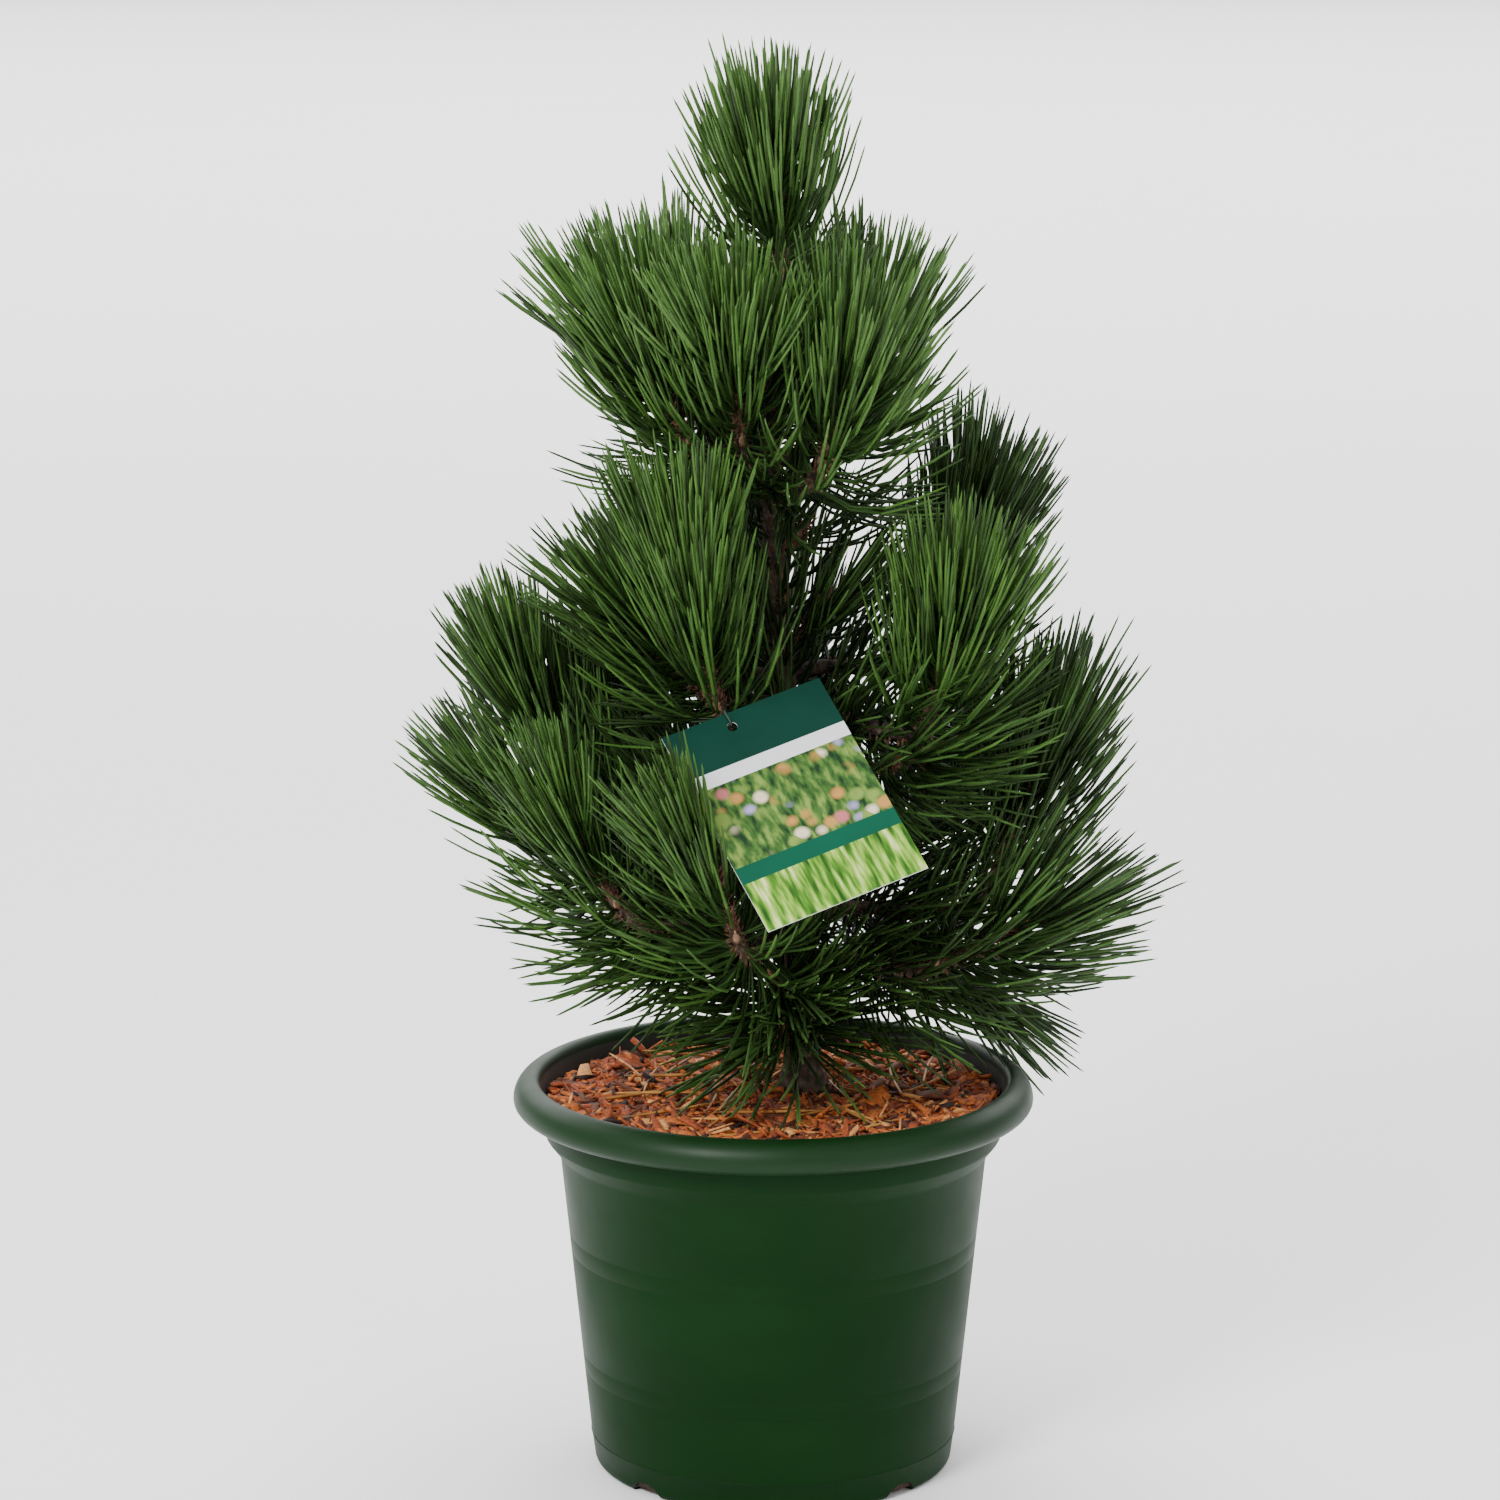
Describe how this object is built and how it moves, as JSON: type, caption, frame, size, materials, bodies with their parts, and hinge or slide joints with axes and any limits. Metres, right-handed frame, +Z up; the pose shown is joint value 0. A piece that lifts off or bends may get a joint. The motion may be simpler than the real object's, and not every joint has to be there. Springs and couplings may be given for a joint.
{
  "type": "potted bosnian pine",
  "caption": "Young dwarf bosnian pine with whorled boughs and long stiff needles, in a round grower's pot with a rolled rim, bark mulch and a plain hanging plant card",
  "frame": {"origin": "middle of the pot's flat underside", "axes": "+Z up along the trunk, front of the plant with its card towards -Y, +X to the right of that view"},
  "size_m": [0.3887, 0.3418, 0.7395],
  "materials": {
    "pot": "satin moulded polypropylene, dark green",
    "mulch": "shredded red-brown bark over dark peat",
    "bark": "rough grey-brown bark with leaf scars",
    "needles": "waxy dark green needles",
    "card": "printed glossy plastic card",
    "tie": "dark green plastic strap"
  },
  "bodies": {
    "root": {"bough_foot_right_back": "bark", "bough_left_high": "bark", "bough_left_high_back": "bark", "bough_low_back": "bark", "bough_low_front_left": "bark", "bough_low_left": "bark", "bough_low_left_back": "bark", "bough_low_left_front": "bark", "bough_low_right": "bark", "bough_low_right_back": "bark", "bough_low_right_high": "bark", "bough_middle_back": "bark", "bough_middle_front_left": "bark", "bough_middle_left": "bark", "bough_middle_left_back": "bark", "bough_middle_right": "bark", "bough_middle_right_back": "bark", "bough_middle_right_low": "bark", "bough_upper_back": "bark", "bough_upper_front": "bark", "bough_upper_left": "bark", "bough_upper_left_back": "bark", "bough_upper_right": "bark", "bough_upper_right_back": "bark", "card_tie": "tie", "needles_foot": "needles", "needles_foot_right_back": "needles", "needles_inner_right": "needles", "needles_inner_top": "needles", "needles_leader": "needles", "needles_left_high": "needles", "needles_left_high_back": "needles", "needles_low_back": "needles", "needles_low_front": "needles", "needles_low_front_left": "needles", "needles_low_left": "needles", "needles_low_left_back": "needles", "needles_low_left_front": "needles", "needles_low_left_spray": "needles", "needles_low_right": "needles", "needles_low_right_back": "needles", "needles_low_right_high": "needles", "needles_middle_back": "needles", "needles_middle_front_left": "needles", "needles_middle_left": "needles", "needles_middle_left_back": "needles", "needles_middle_right": "needles", "needles_middle_right_back": "needles", "needles_middle_right_low": "needles", "needles_upper_back": "needles", "needles_upper_front": "needles", "needles_upper_left": "needles", "needles_upper_left_back": "needles", "needles_upper_right": "needles", "needles_upper_right_back": "needles", "plant_card": "card", "pot": "pot", "root_ball": "mulch", "trunk": "bark"}
  },
  "joints": []
}
